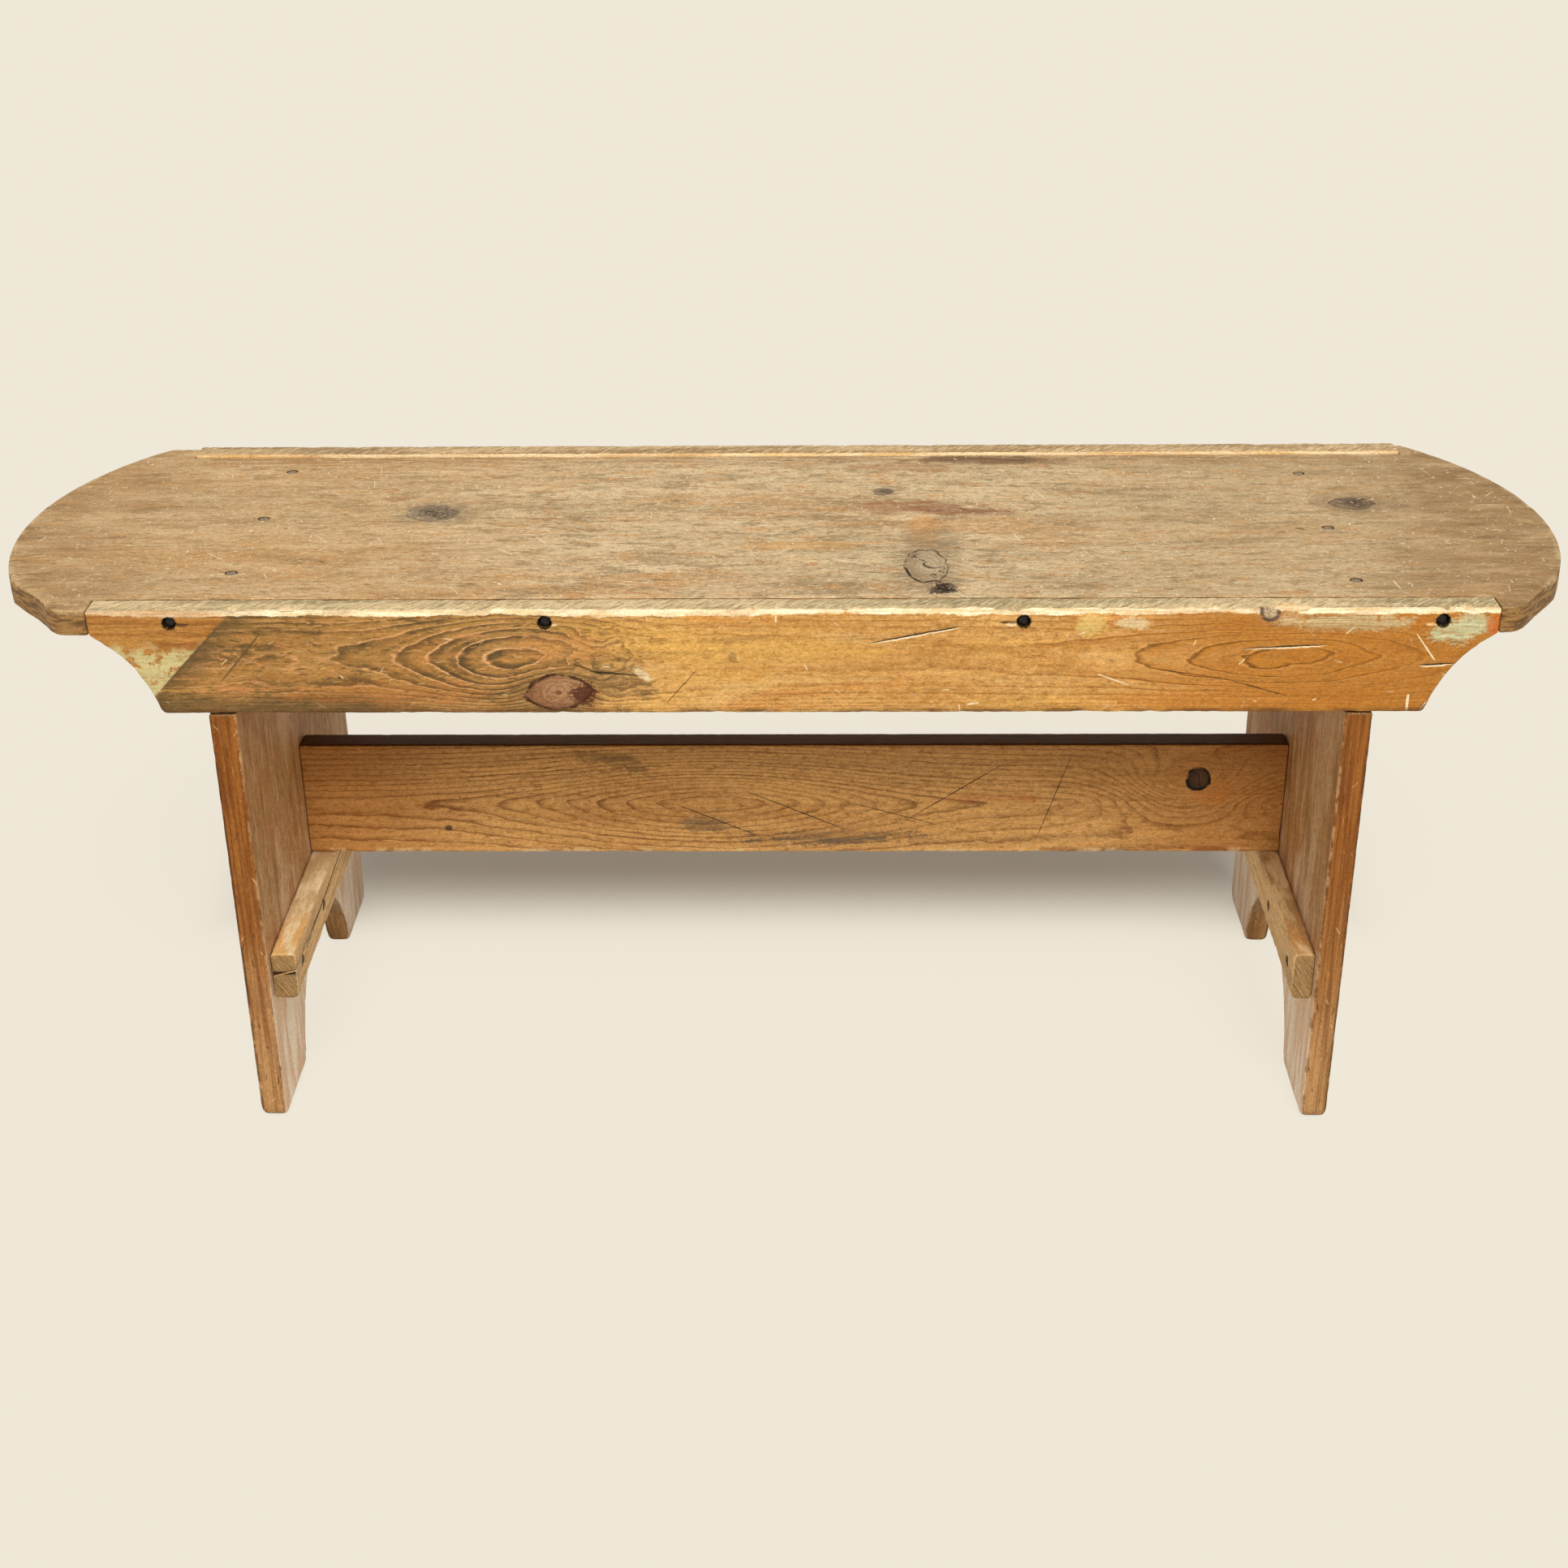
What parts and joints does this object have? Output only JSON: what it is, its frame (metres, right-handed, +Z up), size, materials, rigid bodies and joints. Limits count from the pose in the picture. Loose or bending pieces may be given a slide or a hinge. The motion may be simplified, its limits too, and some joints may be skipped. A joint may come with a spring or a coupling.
{
  "type": "primitive wooden bench",
  "caption": "Low pine bench: round-ended seat plank with coved aprons let flush into its edges, slab legs with arched feet, and a stretcher on cleats.",
  "frame": {"origin": "on the floor, under the middle of the bench's overall length and depth", "axes": "+X along the bench to the right as seen from the front, +Y towards the back, +Z up"},
  "size_m": [1.2091, 0.362, 0.452],
  "materials": {
    "seat_pine": "old pine worn grey-brown and dull, with knots, fine scratches and dents along the grain",
    "apron_pine": "honey-brown pine with a thin old finish, dark grain, a large knot, chipped edges and scraps of pale paint",
    "leg_pine": "tan pine with upright grain, edges darkened and rubbed",
    "stretcher_pine": "warm brown pine with cathedral grain and a black-ringed knot",
    "cleat_pine": "pale bare pine batten, rubbed on top and rough-sawn at the ends",
    "nail_iron": "dark rusted iron nail"
  },
  "bodies": {
    "root": {"seat_board": "seat_pine", "front_apron": "apron_pine", "back_apron": "apron_pine", "left_leg": "leg_pine", "right_leg": "leg_pine", "stretcher": "stretcher_pine", "left_cleat": "cleat_pine", "right_cleat": "cleat_pine", "seat_nail_left_1": "nail_iron", "seat_nail_left_2": "nail_iron", "seat_nail_left_3": "nail_iron", "seat_nail_right_1": "nail_iron", "seat_nail_right_2": "nail_iron", "seat_nail_right_3": "nail_iron", "front_apron_nail_1": "nail_iron", "front_apron_nail_2": "nail_iron", "front_apron_nail_3": "nail_iron", "front_apron_nail_4": "nail_iron", "back_apron_nail_1": "nail_iron", "back_apron_nail_2": "nail_iron", "back_apron_nail_3": "nail_iron", "back_apron_nail_4": "nail_iron", "left_cleat_nail_1": "nail_iron", "left_cleat_nail_2": "nail_iron", "left_cleat_nail_3": "nail_iron", "right_cleat_nail_1": "nail_iron", "right_cleat_nail_2": "nail_iron", "right_cleat_nail_3": "nail_iron", "stretcher_nail_left_1": "nail_iron", "stretcher_nail_left_2": "nail_iron", "stretcher_nail_right_1": "nail_iron", "stretcher_nail_right_2": "nail_iron"}
  },
  "joints": []
}
